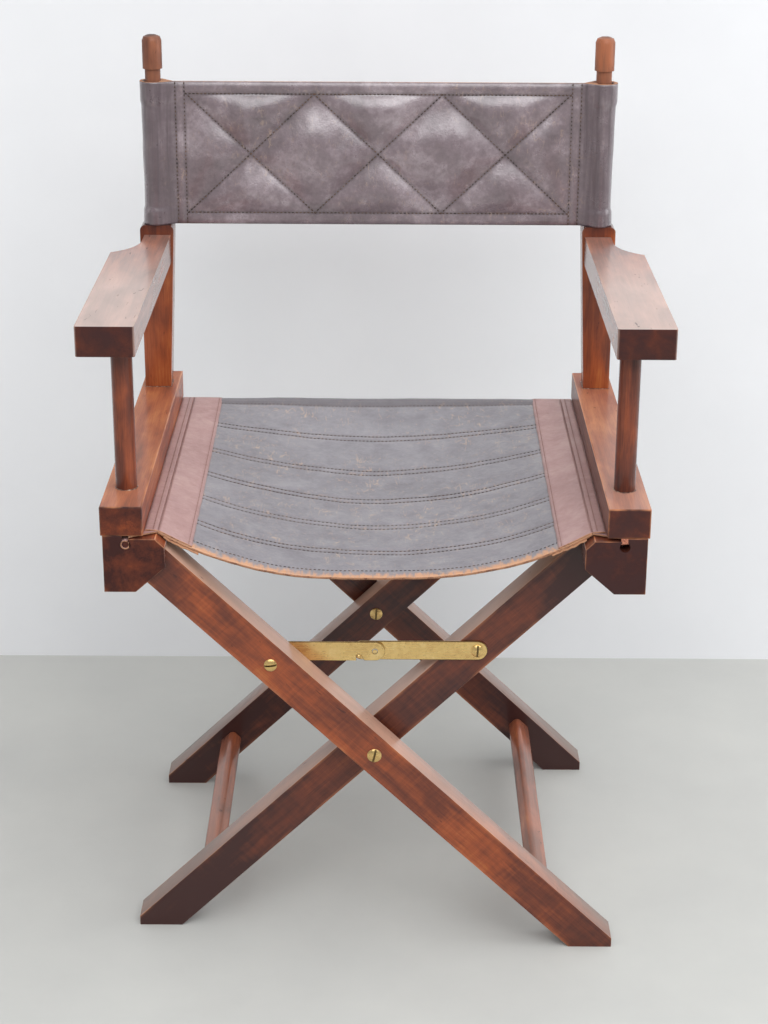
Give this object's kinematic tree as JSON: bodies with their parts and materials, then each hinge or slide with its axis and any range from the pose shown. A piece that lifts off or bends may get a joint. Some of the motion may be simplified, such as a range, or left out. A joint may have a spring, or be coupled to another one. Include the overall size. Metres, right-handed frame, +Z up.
{
  "type": "folding directors chair",
  "caption": "Folding wooden armchair with scissor legs, a brass folding stay, a slung leather seat held by rods in grooved rails and a quilted leather back.",
  "frame": {"origin": "floor point under the middle of the chair", "axes": "+Z up, +Y towards the back, +X to the right of a viewer who faces the chair"},
  "size_m": [0.592, 0.46, 0.9206],
  "materials": {
    "wood": "satin varnish, worn edges",
    "leather_dark": "worn, soft sheen",
    "leather_red": "dry, dusty",
    "brass": "satin, aged",
    "steel": "plain"
  },
  "bodies": {
    "outer_frame": {"outer_leg_front": "wood", "outer_leg_rear": "wood", "outer_stretcher": "wood", "pivot_bolts": "brass", "pivot_nuts": "brass", "pivot_washers": "brass", "stay_screw_left": "brass"},
    "inner_frame": {"inner_leg_front": "wood", "inner_leg_rear": "wood", "inner_stretcher": "wood"},
    "left_side": {"lower_rail_left": "wood", "base_rail_left": "wood", "front_post_left": "wood", "back_post_left": "wood", "armrest_left": "wood", "back_rod_left": "wood", "hinge_rod_left": "steel", "seat_rod_left": "wood", "seat_loop_left": "leather_red", "arm_dowel_left": "wood", "tenon_pegs_left": "wood", "rail_screws_left": "steel"},
    "right_side": {"lower_rail_right": "wood", "base_rail_right": "wood", "front_post_right": "wood", "back_post_right": "wood", "armrest_right": "wood", "back_rod_right": "wood", "hinge_rod_right": "steel", "seat_rod_right": "wood", "seat_loop_right": "leather_red", "arm_dowel_right": "wood", "tenon_pegs_right": "wood", "rail_screws_right": "steel"},
    "stay_left": {"stay_strap_left": "brass", "stay_rivet": "brass"},
    "stay_right": {"stay_strap_right": "brass", "stop_stud": "brass", "stay_screw_right": "brass"},
    "seat_left": {"seat_panel_left": "leather_dark", "seat_strip_left": "leather_red"},
    "seat_right": {"seat_panel_right": "leather_dark", "seat_strip_right": "leather_red"},
    "back_left": {"back_panel_left": "leather_dark", "back_sleeve_left": "leather_dark"},
    "back_right": {"back_panel_right": "leather_dark", "back_sleeve_right": "leather_dark"}
  },
  "joints": [
    {"name": "fold", "type": "hinge", "parent": "left_side", "child": "outer_frame", "pos_m": [-0.228, 0, 0.45318], "axis": [0, 1, 0], "range_deg": [0, 40]},
    {"name": "inner_fold", "type": "hinge", "parent": "outer_frame", "child": "inner_frame", "pos_m": [0, 0, 0.233], "axis": [0, 1, 0], "range_deg": [-80.05, 0]},
    {"name": "right_rail_turn", "type": "hinge", "parent": "inner_frame", "child": "right_side", "pos_m": [0.228, 0, 0.45318], "axis": [0, 1, 0], "range_deg": [0, 40.05]},
    {"name": "stay_left_turn", "type": "hinge", "parent": "outer_frame", "child": "stay_left", "pos_m": [-0.1079, -0.184, 0.3372], "axis": [0, 1, 0], "range_deg": [0, 41.7]},
    {"name": "stay_right_turn", "type": "hinge", "parent": "stay_left", "child": "stay_right", "pos_m": [0, -0.184, 0.3372], "axis": [0, 1, 0], "range_deg": [-163.34, 0]},
    {"name": "seat_left_fold", "type": "hinge", "parent": "left_side", "child": "seat_left", "pos_m": [-0.22, 0, 0.48158], "axis": [0, 1, 0], "range_deg": [-94.86, 0], "deforming": ["seat_panel_left", "seat_strip_left"]},
    {"name": "seat_right_fold", "type": "hinge", "parent": "seat_left", "child": "seat_right", "pos_m": [0, 0, 0.43783], "axis": [0, 1, 0], "range_deg": [0, 189.68], "deforming": ["seat_panel_right", "seat_strip_right"]},
    {"name": "back_left_fold", "type": "hinge", "parent": "left_side", "child": "back_left", "pos_m": [-0.25275, 0.18, 0.69658], "axis": [0, 0, 1], "range_deg": [0, 77.72], "deforming": ["back_panel_left", "back_sleeve_left"]},
    {"name": "back_right_fold", "type": "hinge", "parent": "back_left", "child": "back_right", "pos_m": [0, 0.176, 0.69658], "axis": [0, 0, 1], "range_deg": [-155.39, 0], "deforming": ["back_panel_right", "back_sleeve_right"]}
  ],
  "couplings": [
    {"joint": "inner_fold", "follows": "fold", "ratio": -2},
    {"joint": "right_rail_turn", "follows": "fold", "ratio": 1},
    {"joint": "stay_left_turn", "follows": "fold", "ratio": 1.0411},
    {"joint": "stay_right_turn", "follows": "fold", "ratio": -4.0822},
    {"joint": "seat_left_fold", "follows": "fold", "ratio": -2.3704},
    {"joint": "seat_right_fold", "follows": "fold", "ratio": 4.7407},
    {"joint": "back_left_fold", "follows": "fold", "ratio": 1.9417},
    {"joint": "back_right_fold", "follows": "fold", "ratio": -3.8835}
  ]
}
